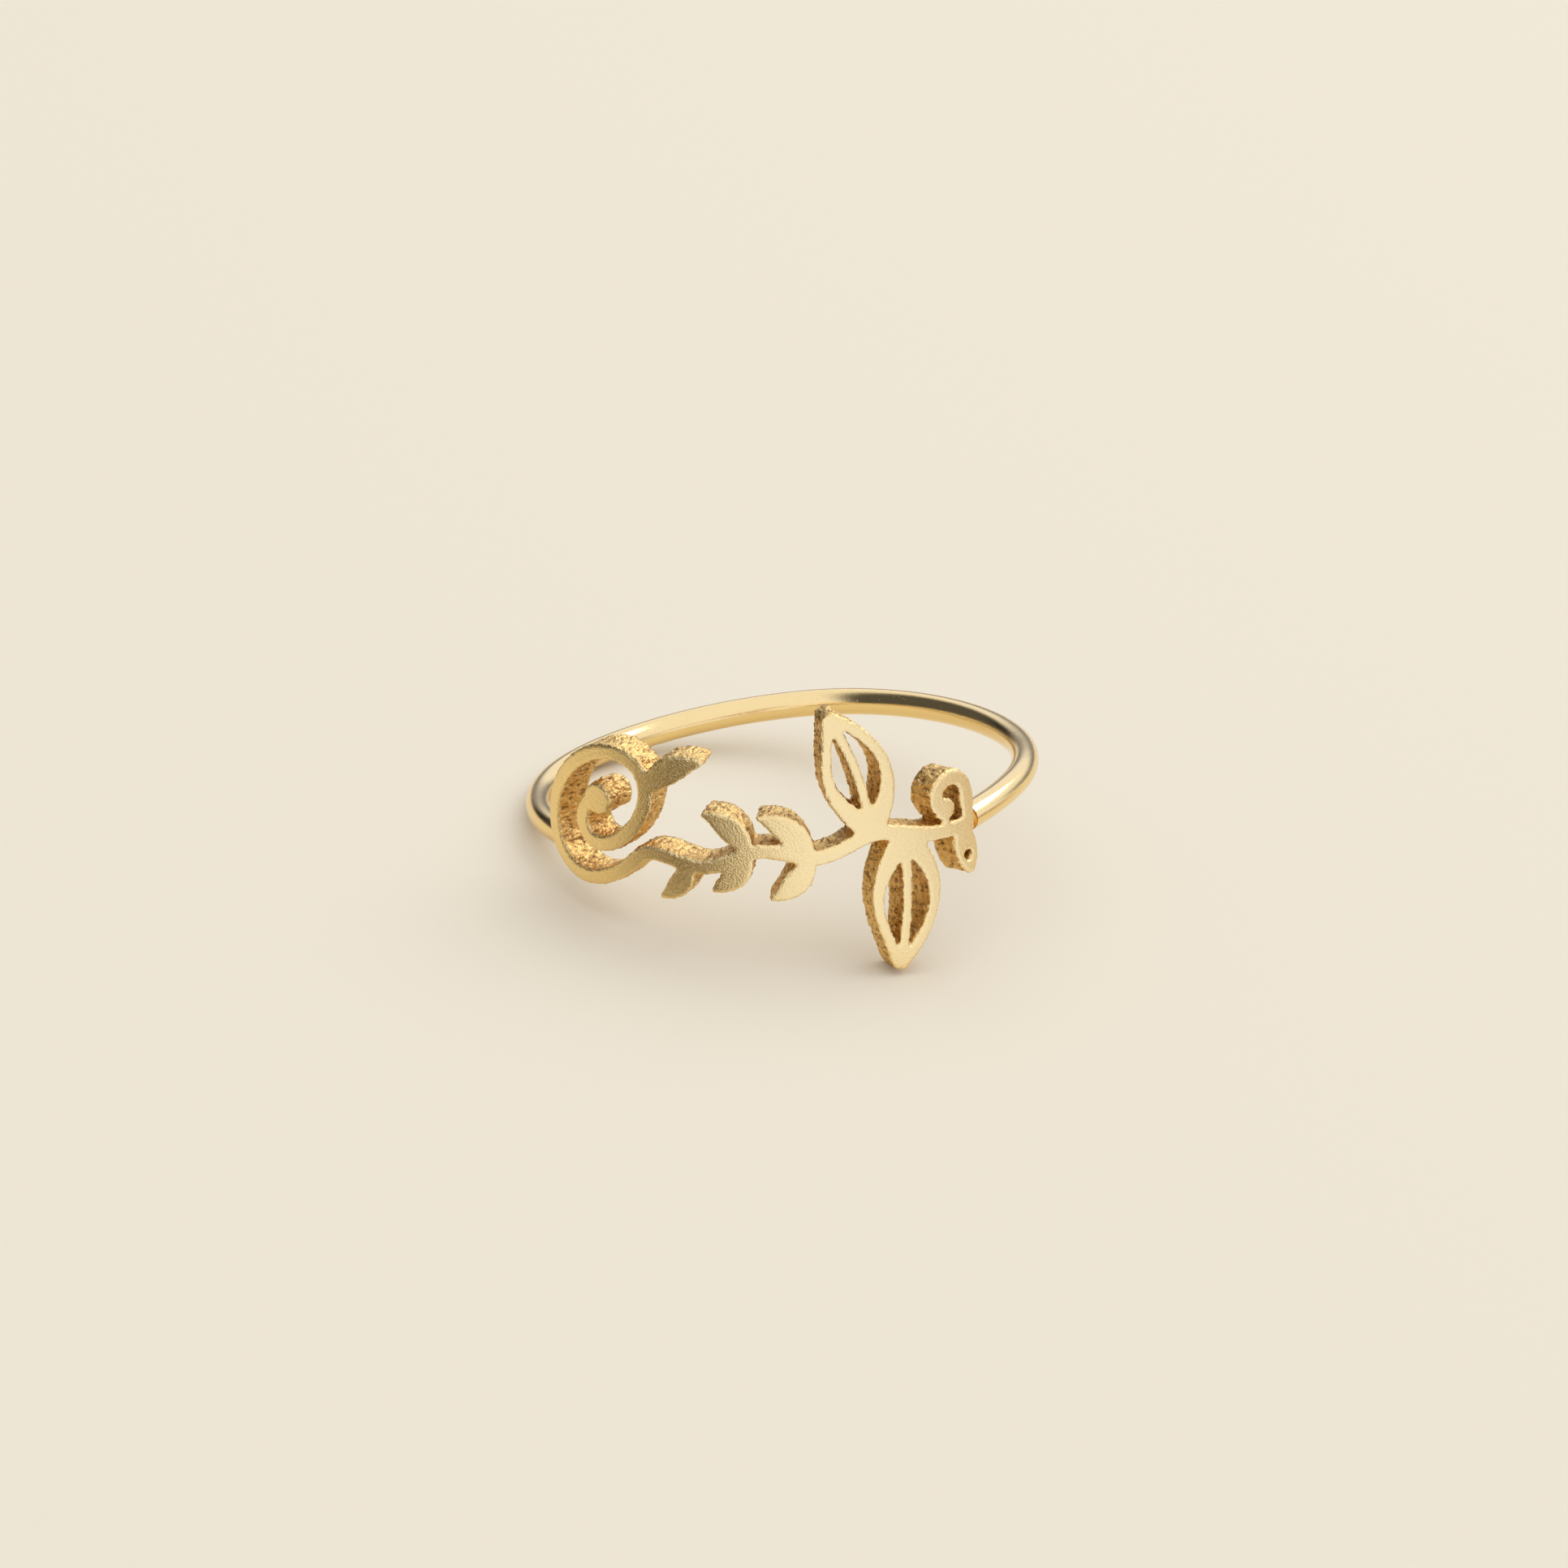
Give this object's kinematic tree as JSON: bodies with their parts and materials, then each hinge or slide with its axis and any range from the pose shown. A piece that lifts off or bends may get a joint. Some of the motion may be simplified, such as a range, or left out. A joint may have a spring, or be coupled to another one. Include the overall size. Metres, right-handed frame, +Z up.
{
  "type": "name ring",
  "caption": "Finger ring of round wire whose curved openwork front is a vine with a scroll and pairs of leaves, lying on its side as it rests by itself.",
  "frame": {"origin": "middle of the lying ring's box, on the surface that it rests on", "axes": "+Z up from the surface; the middle of the openwork front faces -Y; +X to the right of it. The ring's own axis leans 14.8 degrees from +Z, because the ring lies on its hanging leaf and on the back left of its band."},
  "size_m": [0.0188, 0.0198, 0.0098],
  "materials": {
    "gold": "gold-plated silver: polished face and wire, rough cast side walls"
  },
  "bodies": {
    "root": {"ring": "gold"}
  },
  "joints": []
}
